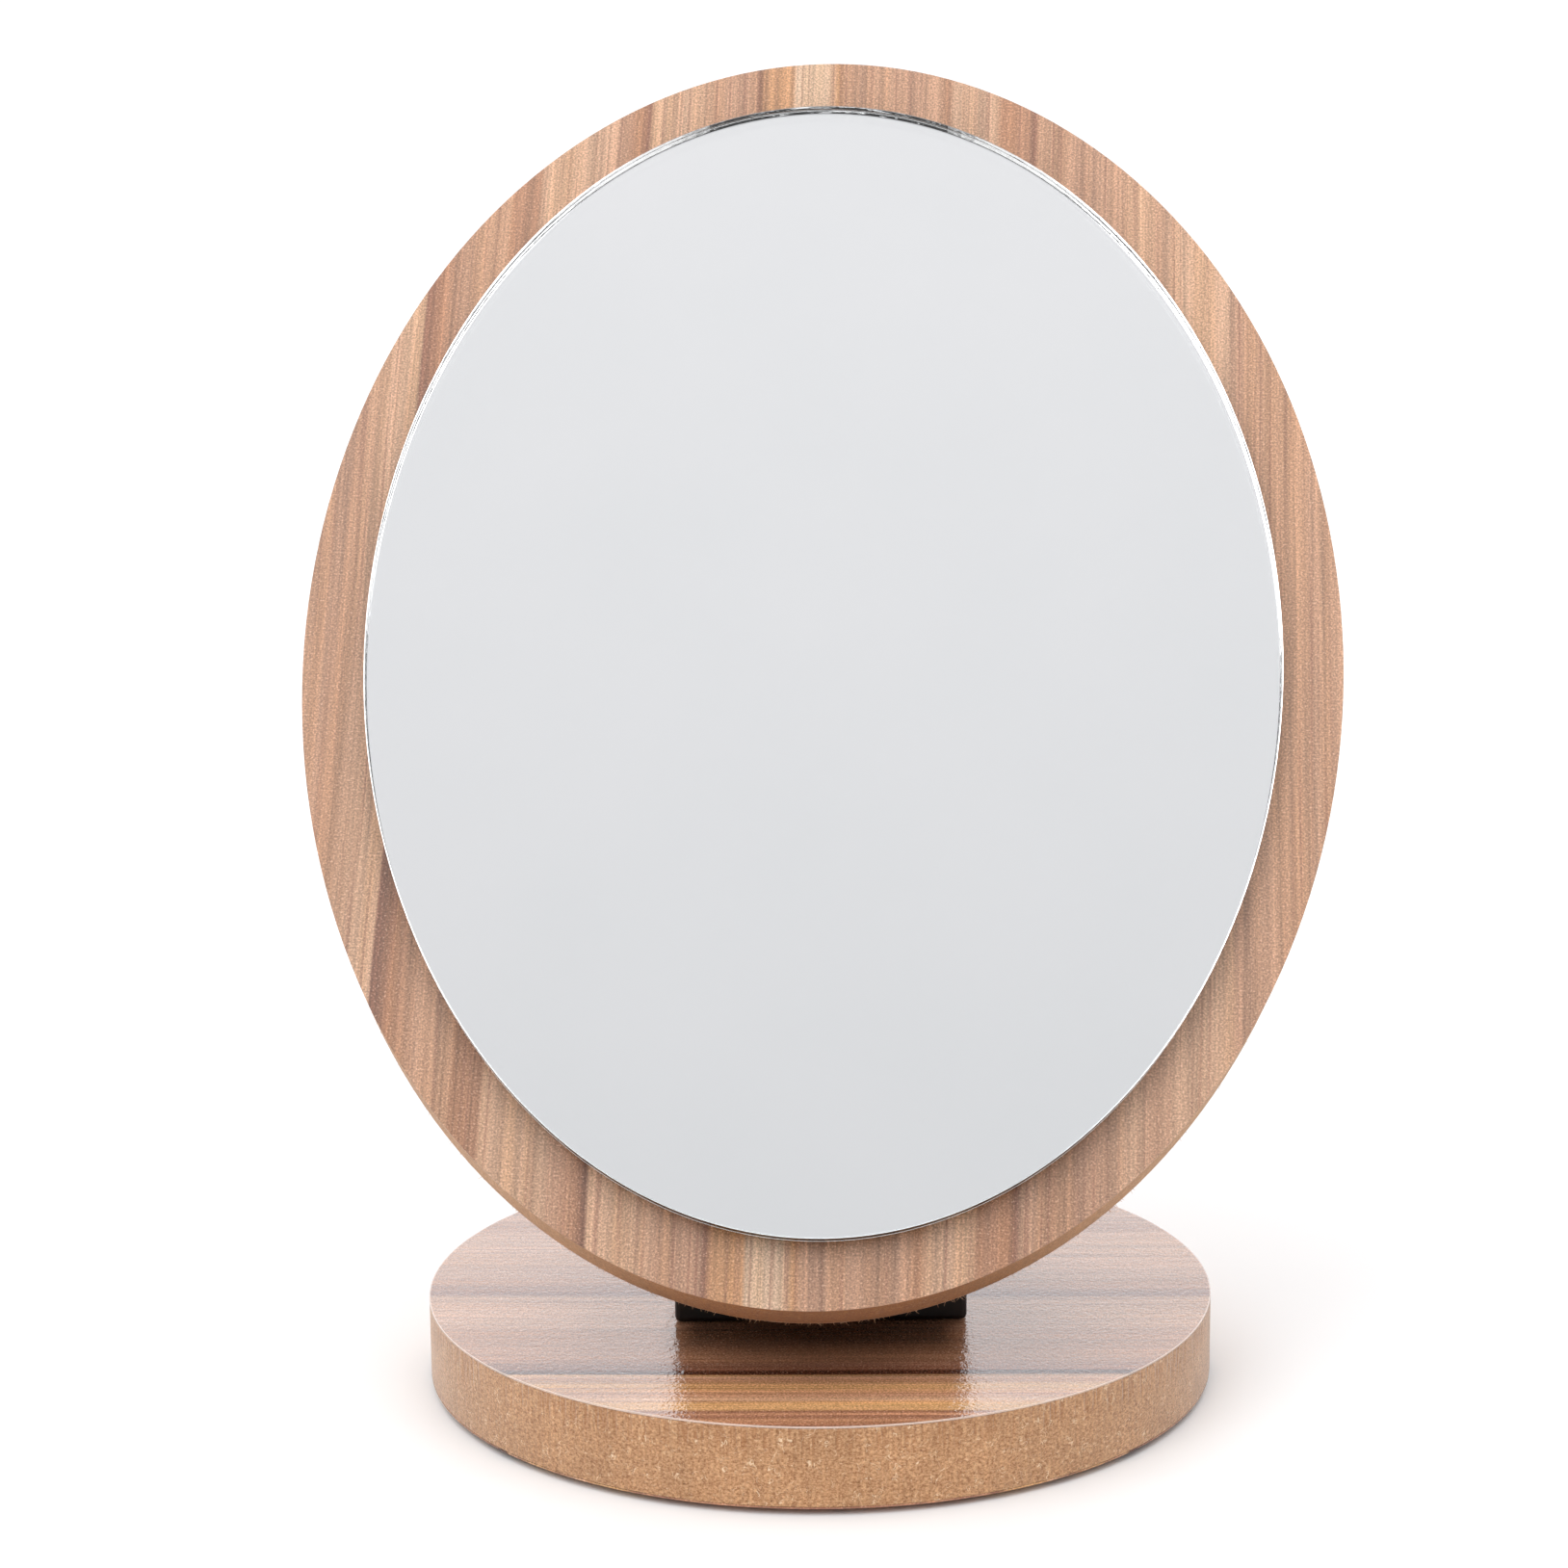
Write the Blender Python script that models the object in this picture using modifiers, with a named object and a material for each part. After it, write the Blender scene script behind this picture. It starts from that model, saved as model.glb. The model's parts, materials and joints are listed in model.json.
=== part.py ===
"""Oval tabletop mirror, tilting on a bracket over a round base.

Metres, +Z up. The mirror faces -Y, with +X on the right as its user looks at it.
The origin is the base's centre, on the surface that the pads stand on.
"""

import math

import bmesh
import bpy
from mathutils import Matrix

MM = 0.001
PARTS_NAME = "tabletop_mirror"
CUTTERS_NAME = "cutters"

# Driving dimensions
BASE_RADIUS = 60.0 * MM
BASE_THICKNESS = 12.0 * MM
PANEL_HALF_WIDTH = 77.4 * MM
PANEL_HALF_HEIGHT = 99.5 * MM
PANEL_THICKNESS = 9.5 * MM
PANEL_TILT = math.radians(30.4)  # leaning back from upright, at rest
PANEL_LEAN = math.radians(3.5)  # the oval's turn in its own plane, top to the right
PANEL_SHIFT = 1.3 * MM  # the oval's centre is that far to the right of the stand's
GLASS_HALF_WIDTH = 67.9 * MM
GLASS_HALF_HEIGHT = 89.8 * MM
GLASS_THICKNESS = 2.0 * MM
GLASS_LEAN = math.radians(2.0)
GLASS_DROP = 0.2 * MM  # the glass's centre is that far below the panel's
GLASS_BEVEL = 0.15 * MM
SILVER_THICKNESS = 0.1 * MM  # the silver coat with its backing paint

# Boards are faced with thin film, and glued pieces keep a hairline between them
FILM_THICKNESS = 0.25 * MM
HAIRLINE = 0.05 * MM
TOUCH_GAP = 0.1 * MM
STOP_GAP = 0.3 * MM

# Pads under the base
PAD_COUNT = 4
PAD_RADIUS = 5.0 * MM
PAD_THICKNESS = 0.95 * MM
PAD_RING_RADIUS = 50.0 * MM

# Hinge axis, from the base's centre line and its top face
PIVOT_Y = -19.4 * MM
PIVOT_ABOVE_BASE = 37.5 * MM
PIVOT_TO_PANEL = 4.6 * MM  # square to the panel's back
PANEL_BELOW_PIVOT = 36.6 * MM  # along the panel, to its lowest point
KNUCKLE_RADIUS = 4.2 * MM
KNUCKLE_INSET = 0.3 * MM
BARREL_HALF_LENGTH = 9.5 * MM
WASHER_RADIUS = 3.4 * MM
WASHER_THICKNESS = 0.5 * MM
SLOT_RADIUS = 4.6 * MM

# Hinge bolt and nut
BOLT_RADIUS = 1.5 * MM
RUNNING_GAP = 0.05 * MM
BOLT_HEAD_RADIUS = 2.7 * MM
BOLT_HEAD_THICKNESS = 1.8 * MM
BOLT_HEAD_SINK = 0.3 * MM
NUT_CORNER_RADIUS = 3.1 * MM
NUT_THICKNESS = 2.2 * MM
POCKET_GAP = 0.15 * MM

# Stand bracket, a wedge open underneath
BRACKET_WIDTH = 43.5 * MM
BRACKET_DEPTH = 37.6 * MM
BRACKET_WALL = 2.4 * MM
BRACKET_SHOULDER_Y = -7.0 * MM
BRACKET_REAR_HEIGHT = 7.0 * MM
BRACKET_EDGE = 0.7 * MM
SHOULDER_FILLET = 3.0 * MM
REAR_FILLET = 2.0 * MM
BOSS_RADIUS = 3.6 * MM
BOSS_PILOT_DEPTH = 12.0 * MM

# Hinge leaf on the panel's back
LEAF_WIDTH = 40.0 * MM
LEAF_THICKNESS = 2.9 * MM
LEAF_BOTTOM = 5.0 * MM
LEAF_TOP = 46.0 * MM
LEAF_CORNER = 4.0 * MM
LEAF_EDGE = 0.4 * MM
LEAF_SCREW_X = 14.0 * MM
LEAF_SCREW_INSET = 7.5 * MM

# Wood screws
SCREW_HEAD_RADIUS = 3.0 * MM
SCREW_HEAD_DEPTH = 1.7 * MM
SCREW_SHANK_RADIUS = 1.4 * MM
SCREW_LENGTH = 9.6 * MM
BASE_SCREW_X = 11.0 * MM
BASE_SCREW_Y = -5.0 * MM
BASE_SCREW_HEAD_RADIUS = 3.3 * MM
BASE_SCREW_HEAD_DEPTH = 2.2 * MM
BASE_SCREW_SHANK_RADIUS = 1.75 * MM
BASE_SCREW_LENGTH = 19.0 * MM
COUNTERBORE_RADIUS = 3.9 * MM
COUNTERBORE_DEPTH = 3.4 * MM
THREAD_PITCH = 1.2 * MM
THREAD_DEPTH = 0.3 * MM
TIP_LENGTH = 1.8 * MM
HOLE_GAP = 0.1 * MM
RECESS_ARM = 0.7 * MM
RECESS_DEPTH = 1.1 * MM
RECESS_SHARE = 0.58  # of the head's radius
PAN_HEAD = ((0, 1), (0.6, 1), (0.9, 0.75), (1, 0.4), (1, 0))  # shares of radius and height

# Adhesive tape between the glass and the panel
TAPE_COUNT = 3
TAPE_WIDTH = 90.0 * MM
TAPE_HEIGHT = 12.0 * MM
TAPE_THICKNESS = 1.7 * MM
TAPE_SPACING = 48.0 * MM

# Facets
OVAL_SEGMENTS = 192
ROUND_SEGMENTS = 32
SMALL_SEGMENTS = 24
ARC_STEPS = 6
HEX = 6
SMOOTH_ANGLE = math.radians(35)
OVERCUT = 1.0 * MM  # how far a cutter runs past the face that it opens

# Worked out from the above
PAD_STACK = PAD_THICKNESS + HAIRLINE
BASE_TOP = PAD_STACK + BASE_THICKNESS
PIVOT_Z = BASE_TOP + PIVOT_ABOVE_BASE
BRACKET_BOTTOM = BASE_TOP + TOUCH_GAP
BARREL_SPACE = BARREL_HALF_LENGTH + 2 * TOUCH_GAP + WASHER_THICKNESS
LEAF_BACK = -PIVOT_TO_PANEL + TOUCH_GAP + LEAF_THICKNESS
BRACKET_TOP = PIVOT_Z - LEAF_BACK - STOP_GAP
PANEL_FRONT = -PIVOT_TO_PANEL - PANEL_THICKNESS
LEANING_HALF_HEIGHT = math.hypot(
    PANEL_HALF_HEIGHT * math.cos(PANEL_LEAN), PANEL_HALF_WIDTH * math.sin(PANEL_LEAN)
)
PANEL_CENTRE = LEANING_HALF_HEIGHT - PANEL_BELOW_PIVOT
SILVER_BACK = PANEL_FRONT - TAPE_THICKNESS - 2 * HAIRLINE
GLASS_BACK = SILVER_BACK - SILVER_THICKNESS - HAIRLINE

# Turns a mesh that was built round Z so that it lies along X or Y
ALONG_X = Matrix.Rotation(math.radians(90), 4, "Y")
ALONG_Y = Matrix.Rotation(math.radians(-90), 4, "X")


def clear_scene():
    for obj in list(bpy.data.objects):
        bpy.data.objects.remove(obj)


def add_collection(name):
    collection = bpy.data.collections.new(name)
    bpy.context.scene.collection.children.link(collection)
    return collection


def make_material(name, colour, roughness, metallic=0.0):
    material = bpy.data.materials.new(name)
    material.use_nodes = True
    shader = material.node_tree.nodes["Principled BSDF"]
    shader.inputs["Base Color"].default_value = (*colour, 1.0)
    shader.inputs["Roughness"].default_value = roughness
    shader.inputs["Metallic"].default_value = metallic
    return material


def shade(mesh):
    mesh.shade_smooth()
    mesh.set_sharp_from_angle(angle=SMOOTH_ANGLE)


def cylinder_mesh(name, radius, length, segments=ROUND_SEGMENTS, turn=None, stretch=(1, 1, 1)):
    """A closed cylinder centred on the origin, along Z unless it is turned."""
    bm = bmesh.new()
    bmesh.ops.create_cone(
        bm, cap_ends=True, segments=segments, radius1=radius, radius2=radius, depth=length
    )
    bmesh.ops.scale(bm, vec=stretch, verts=bm.verts)
    if turn is not None:
        bmesh.ops.transform(bm, matrix=turn, verts=bm.verts)
    mesh = bpy.data.meshes.new(name)
    bm.to_mesh(mesh)
    bm.free()
    shade(mesh)
    return mesh


def box_mesh(name, size):
    bm = bmesh.new()
    bmesh.ops.create_cube(bm, size=1)
    bmesh.ops.scale(bm, vec=size, verts=bm.verts)
    mesh = bpy.data.meshes.new(name)
    bm.to_mesh(mesh)
    bm.free()
    return mesh


def oval_mesh(name, half_width, half_height, thickness):
    """An oval slab standing up: X across, Z up, its thickness along Y."""
    stretch = (half_width, half_height, 1)
    return cylinder_mesh(name, 1.0, thickness, OVAL_SEGMENTS, ALONG_Y, stretch)


def rounded_outline(corners):
    """Points of a convex outline from (u, v, fillet radius) corners, given anticlockwise."""
    points = []
    for index, (u, v, radius) in enumerate(corners):
        if radius == 0:
            points.append((u, v))
            continue
        before = corners[index - 1]
        after = corners[(index + 1) % len(corners)]
        start = math.atan2(before[1] - v, before[0] - u)
        end = math.atan2(after[1] - v, after[0] - u)
        opening = (start - end) % math.tau
        middle = end + opening / 2
        reach = radius / math.sin(opening / 2)
        centre = (u + reach * math.cos(middle), v + reach * math.sin(middle))
        sweep = math.pi - opening
        for step in range(ARC_STEPS + 1):
            angle = middle + math.pi + sweep * (step / ARC_STEPS - 0.5)
            points.append(
                (centre[0] + radius * math.cos(angle), centre[1] + radius * math.sin(angle))
            )
    return points


def extruded_mesh(name, points, depth, axes):
    """A closed outline extruded both ways. axes holds the directions of u, v and the depth."""
    curve = bpy.data.curves.new(name, "CURVE")
    curve.dimensions = "2D"
    curve.fill_mode = "BOTH"
    curve.extrude = depth / 2
    spline = curve.splines.new("POLY")
    spline.points.add(len(points) - 1)
    for point, (u, v) in zip(spline.points, points):
        point.co = (u, v, 0, 1)
    spline.use_cyclic_u = True
    guide = bpy.data.objects.new(name, curve)
    guide.matrix_world = Matrix(axes).transposed().to_4x4()
    bpy.context.scene.collection.objects.link(guide)
    graph = bpy.context.evaluated_depsgraph_get()
    evaluated = guide.evaluated_get(graph)
    mesh = bpy.data.meshes.new_from_object(evaluated, depsgraph=graph)
    mesh.transform(guide.matrix_world)
    bpy.data.objects.remove(guide)
    bm = bmesh.new()
    bm.from_mesh(mesh)
    bmesh.ops.remove_doubles(bm, verts=bm.verts, dist=0.00001)
    bmesh.ops.recalc_face_normals(bm, faces=bm.faces)
    bm.to_mesh(mesh)
    bm.free()
    shade(mesh)
    return mesh


def profile_mesh(name, profile):
    """The (radius, height) points of a turned piece, from its top to its bottom."""
    mesh = bpy.data.meshes.new(name)
    points = [(radius, 0, height) for radius, height in profile]
    mesh.from_pydata(points, [(i, i + 1) for i in range(len(points) - 1)], [])
    return mesh


def add_part(name, mesh, material, location=(0, 0, 0), rotation=(0, 0, 0), parent=None):
    part = bpy.data.objects.new(name, mesh)
    part.location = location
    part.rotation_euler = rotation
    part.parent = parent
    bpy.data.collections[PARTS_NAME].objects.link(part)
    mesh.materials.append(material)
    return part


def add_cutter(name, mesh, location=(0, 0, 0), rotation=(0, 0, 0), parent=None):
    cutter = bpy.data.objects.new(name, mesh)
    cutter.location = location
    cutter.rotation_euler = rotation
    cutter.parent = parent
    cutter.hide_render = True
    cutter.display_type = "WIRE"
    bpy.data.collections[CUTTERS_NAME].objects.link(cutter)
    return cutter


def combine(part, other, operation):
    """Cuts the other shape away from a part (DIFFERENCE) or joins it on (UNION)."""
    boolean = part.modifiers.new(other.name, "BOOLEAN")
    boolean.operation = operation
    boolean.object = other
    boolean.solver = "EXACT"


def add_bevel(part, width, segments=2):
    bevel = part.modifiers.new("edges", "BEVEL")
    bevel.width = width
    bevel.segments = segments
    bevel.limit_method = "ANGLE"
    bevel.angle_limit = SMOOTH_ANGLE


def turn_profile(part, steps=SMALL_SEGMENTS):
    screw = part.modifiers.new("turned", "SCREW")
    screw.steps = steps
    screw.render_steps = steps
    screw.use_merge_vertices = True
    screw.merge_threshold = 0.00001


def pan_head(radius, thickness, seat):
    """Profile of a pan head that sits on the given height."""
    return [(share * radius, seat + height * thickness) for share, height in PAN_HEAD]


def threaded_profile(head, shank_radius, length):
    """A head's points, then a threaded shank that ends in a point."""
    root = shank_radius - THREAD_DEPTH
    profile = list(head)
    height = head[-1][1] - THREAD_PITCH / 2
    while height - THREAD_PITCH > TIP_LENGTH - length:
        profile.append((root, height))
        profile.append((shank_radius, height - THREAD_PITCH / 2))
        height -= THREAD_PITCH
    profile.append((root, TIP_LENGTH - length))
    profile.append((0, -length))
    return profile


def cut_cross_recess(part, arm_length, location, rotation, parent=None):
    """A cross-shaped driver recess in a screw head whose top face is at its origin."""
    mesh = box_mesh(part.name + "_recess", (2 * arm_length, RECESS_ARM, 2 * RECESS_DEPTH))
    for number in range(2):
        arm = add_cutter(f"{part.name}_recess_{number + 1}", mesh, location, rotation, parent)
        arm.rotation_euler.rotate_axis("Z", math.radians(45 + 90 * number))
        combine(part, arm, "DIFFERENCE")


def make_pads(material):
    mesh = cylinder_mesh("pad", PAD_RADIUS, PAD_THICKNESS)
    for number in range(PAD_COUNT):
        angle = math.tau * number / PAD_COUNT
        place = (
            PAD_RING_RADIUS * math.cos(angle),
            PAD_RING_RADIUS * math.sin(angle),
            PAD_THICKNESS / 2,
        )
        add_part(f"foot_pad_{number + 1}", mesh, material, place)


def base_screw_places(height):
    return [(side * BASE_SCREW_X, BASE_SCREW_Y, height) for side in (-1, 1)]


def cut_base_screw_holes(part, radius, name):
    mesh = cylinder_mesh(name, radius, 4 * BASE_THICKNESS)
    for number, place in enumerate(base_screw_places(0)):
        hole = add_cutter(f"{name}_{number + 1}", mesh, place)
        combine(part, hole, "DIFFERENCE")


def make_base(board_material, film_material):
    board_thickness = BASE_THICKNESS - 2 * (FILM_THICKNESS + HAIRLINE)
    board_bottom = PAD_STACK + FILM_THICKNESS + HAIRLINE
    board = add_part(
        "base_board",
        cylinder_mesh("base_board", BASE_RADIUS, board_thickness, OVAL_SEGMENTS),
        board_material,
        (0, 0, board_bottom + board_thickness / 2),
    )
    cut_base_screw_holes(board, BASE_SCREW_SHANK_RADIUS + HOLE_GAP, "board_screw_hole")
    counterbore = cylinder_mesh("counterbore", COUNTERBORE_RADIUS, 2 * COUNTERBORE_DEPTH)
    for number, place in enumerate(base_screw_places(board_bottom)):
        cutter = add_cutter(f"counterbore_{number + 1}", counterbore, place)
        combine(board, cutter, "DIFFERENCE")

    film_places = {
        "base_top_film": (BASE_TOP - FILM_THICKNESS / 2, BASE_SCREW_SHANK_RADIUS + HOLE_GAP),
        "base_bottom_film": (PAD_STACK + FILM_THICKNESS / 2, COUNTERBORE_RADIUS),
    }
    for name, (height, hole_radius) in film_places.items():
        mesh = cylinder_mesh(name, BASE_RADIUS, FILM_THICKNESS, OVAL_SEGMENTS)
        film = add_part(name, mesh, film_material, (0, 0, height))
        cut_base_screw_holes(film, hole_radius, name + "_hole")
    return board_bottom + COUNTERBORE_DEPTH


def make_base_screws(material, seat_height):
    """Pan-head screws pointing up, their heads against the counterbores' floors."""
    head = pan_head(BASE_SCREW_HEAD_RADIUS, BASE_SCREW_HEAD_DEPTH, 0)
    head.append((BASE_SCREW_SHANK_RADIUS - THREAD_DEPTH, 0))
    upside_down = (math.pi, 0, 0)
    for number, (x, y, z) in enumerate(base_screw_places(seat_height - TOUCH_GAP)):
        name = f"base_screw_{number + 1}"
        profile = threaded_profile(head, BASE_SCREW_SHANK_RADIUS, BASE_SCREW_LENGTH)
        screw = add_part(name, profile_mesh(name, profile), material, (x, y, z), upside_down)
        turn_profile(screw)
        face = (x, y, z - BASE_SCREW_HEAD_DEPTH)
        cut_cross_recess(screw, RECESS_SHARE * BASE_SCREW_HEAD_RADIUS, face, upside_down)


def slope_y(height):
    """Where the bracket's sloping back is at a given height above its foot's line."""
    rear_z = BRACKET_BOTTOM + BRACKET_REAR_HEIGHT
    share = (height - rear_z) / (BRACKET_TOP - rear_z)
    return BRACKET_DEPTH / 2 + share * (BRACKET_SHOULDER_Y - BRACKET_DEPTH / 2)


def wedge_corners(inset, top):
    """The wedge's side view as (y, z, fillet) corners, its walls moved in by inset."""
    rear_z = BRACKET_BOTTOM + BRACKET_REAR_HEIGHT
    run = BRACKET_DEPTH / 2 - BRACKET_SHOULDER_Y
    rise = BRACKET_TOP - rear_z
    lowered = inset * math.hypot(run, rise) / run
    rear_y = BRACKET_DEPTH / 2 - inset
    rear_top = rear_z + rise * inset / run - lowered
    fillet_scale = 1 if inset == 0 else 0
    bottom = BRACKET_BOTTOM if inset == 0 else BRACKET_BOTTOM - OVERCUT
    return [
        (rear_y, bottom, 0),
        (rear_y, rear_top, REAR_FILLET * fillet_scale),
        (slope_y(top + lowered), top, SHOULDER_FILLET * fillet_scale),
        (inset - BRACKET_DEPTH / 2, top, 0),
        (inset - BRACKET_DEPTH / 2, bottom, 0),
    ]


def make_bracket(material):
    """A hollow wedge with a middle rib, two screw bosses and the hinge's outer knuckles."""
    side_view = ((0, 1, 0), (0, 0, 1), (1, 0, 0))
    outline = rounded_outline(wedge_corners(0, BRACKET_TOP))
    mesh = extruded_mesh("stand_bracket", outline, BRACKET_WIDTH, side_view)
    bracket = add_part("stand_bracket", mesh, material)
    add_bevel(bracket, BRACKET_EDGE)

    ceiling = PIVOT_Z - SLOT_RADIUS - BRACKET_WALL
    pocket_outline = rounded_outline(wedge_corners(BRACKET_WALL, ceiling))
    pocket_width = (BRACKET_WIDTH - 3 * BRACKET_WALL) / 2
    pocket_mesh = extruded_mesh("bracket_pocket", pocket_outline, pocket_width, side_view)
    boss_bottom = BRACKET_BOTTOM + TOUCH_GAP
    boss_top = ceiling + BRACKET_WALL / 3
    boss_mesh = cylinder_mesh("boss", BOSS_RADIUS, boss_top - boss_bottom)
    pilot_mesh = cylinder_mesh(
        "boss_pilot", BASE_SCREW_SHANK_RADIUS + HOLE_GAP, 2 * BOSS_PILOT_DEPTH
    )
    for number, (x, y, z) in enumerate(base_screw_places((boss_bottom + boss_top) / 2)):
        side = math.copysign(1, x)
        middle = side * (BRACKET_WALL + pocket_width) / 2
        pocket = add_cutter(f"bracket_pocket_{number + 1}", pocket_mesh, (middle, 0, 0))
        combine(bracket, pocket, "DIFFERENCE")
        boss = add_cutter(f"boss_{number + 1}", boss_mesh, (x, y, z))
        combine(bracket, boss, "UNION")
        pilot = add_cutter(f"boss_pilot_{number + 1}", pilot_mesh, (x, y, BASE_TOP))
        combine(bracket, pilot, "DIFFERENCE")

    pivot = (0, PIVOT_Y, PIVOT_Z)
    knuckle_length = BRACKET_WIDTH - 2 * KNUCKLE_INSET
    knuckle = cylinder_mesh("knuckle", KNUCKLE_RADIUS, knuckle_length, turn=ALONG_X)
    combine(bracket, add_cutter("knuckle", knuckle, pivot), "UNION")
    slot = cylinder_mesh("barrel_slot", SLOT_RADIUS, 2 * BARREL_SPACE, turn=ALONG_X)
    combine(bracket, add_cutter("barrel_slot", slot, pivot), "DIFFERENCE")
    bore = cylinder_mesh("bracket_bore", BOLT_RADIUS + RUNNING_GAP, 2 * BRACKET_WIDTH, turn=ALONG_X)
    combine(bracket, add_cutter("bracket_bore", bore, pivot), "DIFFERENCE")

    knuckle_end = knuckle_length / 2
    head_depth = BOLT_HEAD_THICKNESS + BOLT_HEAD_SINK + TOUCH_GAP
    head_pocket = cylinder_mesh(
        "head_pocket", BOLT_HEAD_RADIUS + POCKET_GAP, 2 * head_depth, turn=ALONG_X
    )
    head_place = (-knuckle_end, PIVOT_Y, PIVOT_Z)
    combine(bracket, add_cutter("head_pocket", head_pocket, head_place), "DIFFERENCE")
    nut_depth = NUT_THICKNESS + BOLT_HEAD_SINK + TOUCH_GAP
    nut_pocket = cylinder_mesh(
        "nut_pocket", NUT_CORNER_RADIUS + POCKET_GAP, 2 * nut_depth, HEX, ALONG_X
    )
    nut_place = (knuckle_end, PIVOT_Y, PIVOT_Z)
    combine(bracket, add_cutter("nut_pocket", nut_pocket, nut_place), "DIFFERENCE")


def make_hinge_bolt(material):
    """A pan-head bolt along the axis with its head on the left, and its nut on the right."""
    knuckle_end = BRACKET_WIDTH / 2 - KNUCKLE_INSET
    face = knuckle_end - BOLT_HEAD_SINK
    tip = face - TOUCH_GAP
    seat = face - BOLT_HEAD_THICKNESS
    profile = pan_head(BOLT_HEAD_RADIUS, BOLT_HEAD_THICKNESS, seat) + [
        (BOLT_RADIUS, seat),
        (BOLT_RADIUS, THREAD_DEPTH - tip),
        (BOLT_RADIUS - THREAD_DEPTH, -tip),
        (0, -tip),
    ]
    head_left = (0, -math.radians(90), 0)
    pivot = (0, PIVOT_Y, PIVOT_Z)
    bolt = add_part(
        "hinge_bolt", profile_mesh("hinge_bolt", profile), material, pivot, head_left
    )
    turn_profile(bolt, ROUND_SEGMENTS)
    head_face = (-face, PIVOT_Y, PIVOT_Z)
    cut_cross_recess(bolt, RECESS_SHARE * BOLT_HEAD_RADIUS, head_face, head_left)

    nut_mesh = cylinder_mesh("hinge_nut", NUT_CORNER_RADIUS, NUT_THICKNESS, HEX, ALONG_X)
    nut_x = knuckle_end - BOLT_HEAD_SINK - NUT_THICKNESS / 2
    nut = add_part("hinge_nut", nut_mesh, material, (nut_x, PIVOT_Y, PIVOT_Z))
    nut_hole = cylinder_mesh("nut_hole", BOLT_RADIUS + HOLE_GAP, BRACKET_WIDTH, turn=ALONG_X)
    combine(nut, add_cutter("nut_hole", nut_hole, (nut_x, PIVOT_Y, PIVOT_Z)), "DIFFERENCE")


def make_friction_washers(material):
    hole_mesh = cylinder_mesh("washer_hole", BOLT_RADIUS + HOLE_GAP, BARREL_SPACE, turn=ALONG_X)
    mesh = cylinder_mesh("friction_washer", WASHER_RADIUS, WASHER_THICKNESS, turn=ALONG_X)
    offset = BARREL_HALF_LENGTH + TOUCH_GAP + WASHER_THICKNESS / 2
    for name, side in (("left", -1), ("right", 1)):
        place = (side * offset, PIVOT_Y, PIVOT_Z)
        washer = add_part("friction_washer_" + name, mesh, material, place)
        combine(washer, add_cutter(f"washer_hole_{name}", hole_mesh, place), "DIFFERENCE")


def leaf_screw_places(depth):
    heights = (LEAF_BOTTOM + LEAF_SCREW_INSET, LEAF_TOP - LEAF_SCREW_INSET)
    return [(side * LEAF_SCREW_X, depth, height) for height in heights for side in (-1, 1)]


def cut_leaf_screw_holes(part, radius, start, end, name, pivot):
    """Holes for the leaf's screws between two depths, given along the pivot's Y."""
    mesh = cylinder_mesh(name, radius, abs(end - start), SMALL_SEGMENTS, ALONG_Y)
    for number, place in enumerate(leaf_screw_places((start + end) / 2)):
        hole = add_cutter(f"{name}_{number + 1}", mesh, place, parent=pivot)
        combine(part, hole, "DIFFERENCE")


def make_leaf(material, pivot):
    """The plate screwed to the panel, with the barrel that turns on the hinge bolt."""
    half = LEAF_WIDTH / 2
    outline = rounded_outline(
        [
            (-half, LEAF_BOTTOM, LEAF_CORNER / 2),
            (half, LEAF_BOTTOM, LEAF_CORNER / 2),
            (half, LEAF_TOP, LEAF_CORNER),
            (-half, LEAF_TOP, LEAF_CORNER),
        ]
    )
    front_view = ((1, 0, 0), (0, 0, 1), (0, -1, 0))
    mesh = extruded_mesh("hinge_leaf", outline, LEAF_THICKNESS, front_view)
    mesh.transform(Matrix.Translation((0, LEAF_BACK - LEAF_THICKNESS / 2, 0)))
    leaf = add_part("hinge_leaf", mesh, material, parent=pivot)
    add_bevel(leaf, LEAF_EDGE, 1)

    barrel_mesh = cylinder_mesh(
        "barrel", KNUCKLE_RADIUS, 2 * BARREL_HALF_LENGTH, turn=ALONG_X
    )
    combine(leaf, add_cutter("barrel", barrel_mesh, parent=pivot), "UNION")
    web_depth = LEAF_THICKNESS - 2 * LEAF_EDGE
    web_height = LEAF_BOTTOM + LEAF_CORNER
    web_width = 2 * (BARREL_HALF_LENGTH - LEAF_EDGE)
    web_mesh = box_mesh("web", (web_width, web_depth, web_height))
    web_place = (0, LEAF_BACK - LEAF_THICKNESS / 2, web_height / 2)
    combine(leaf, add_cutter("web", web_mesh, web_place, parent=pivot), "UNION")

    bore = cylinder_mesh("leaf_bore", BOLT_RADIUS + RUNNING_GAP, LEAF_WIDTH, turn=ALONG_X)
    combine(leaf, add_cutter("leaf_bore", bore, parent=pivot), "DIFFERENCE")
    gap = SCREW_SHANK_RADIUS + HOLE_GAP
    past_front = LEAF_BACK - LEAF_THICKNESS - OVERCUT
    cut_leaf_screw_holes(leaf, gap, past_front, LEAF_BACK, "leaf_hole", pivot)
    sink_radius = SCREW_HEAD_RADIUS + HOLE_GAP
    sink_slope = SCREW_HEAD_DEPTH / (SCREW_HEAD_RADIUS - SCREW_SHANK_RADIUS)
    sink = profile_mesh(
        "countersink",
        [
            (0, OVERCUT),
            (sink_radius, OVERCUT),
            (sink_radius, -HOLE_GAP),
            (0, -HOLE_GAP - sink_radius * sink_slope),
        ],
    )
    for number, place in enumerate(leaf_screw_places(LEAF_BACK)):
        cutter = add_cutter(
            f"countersink_{number + 1}", sink, place, (-math.radians(90), 0, 0), pivot
        )
        turn_profile(cutter)
        combine(leaf, cutter, "DIFFERENCE")


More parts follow.
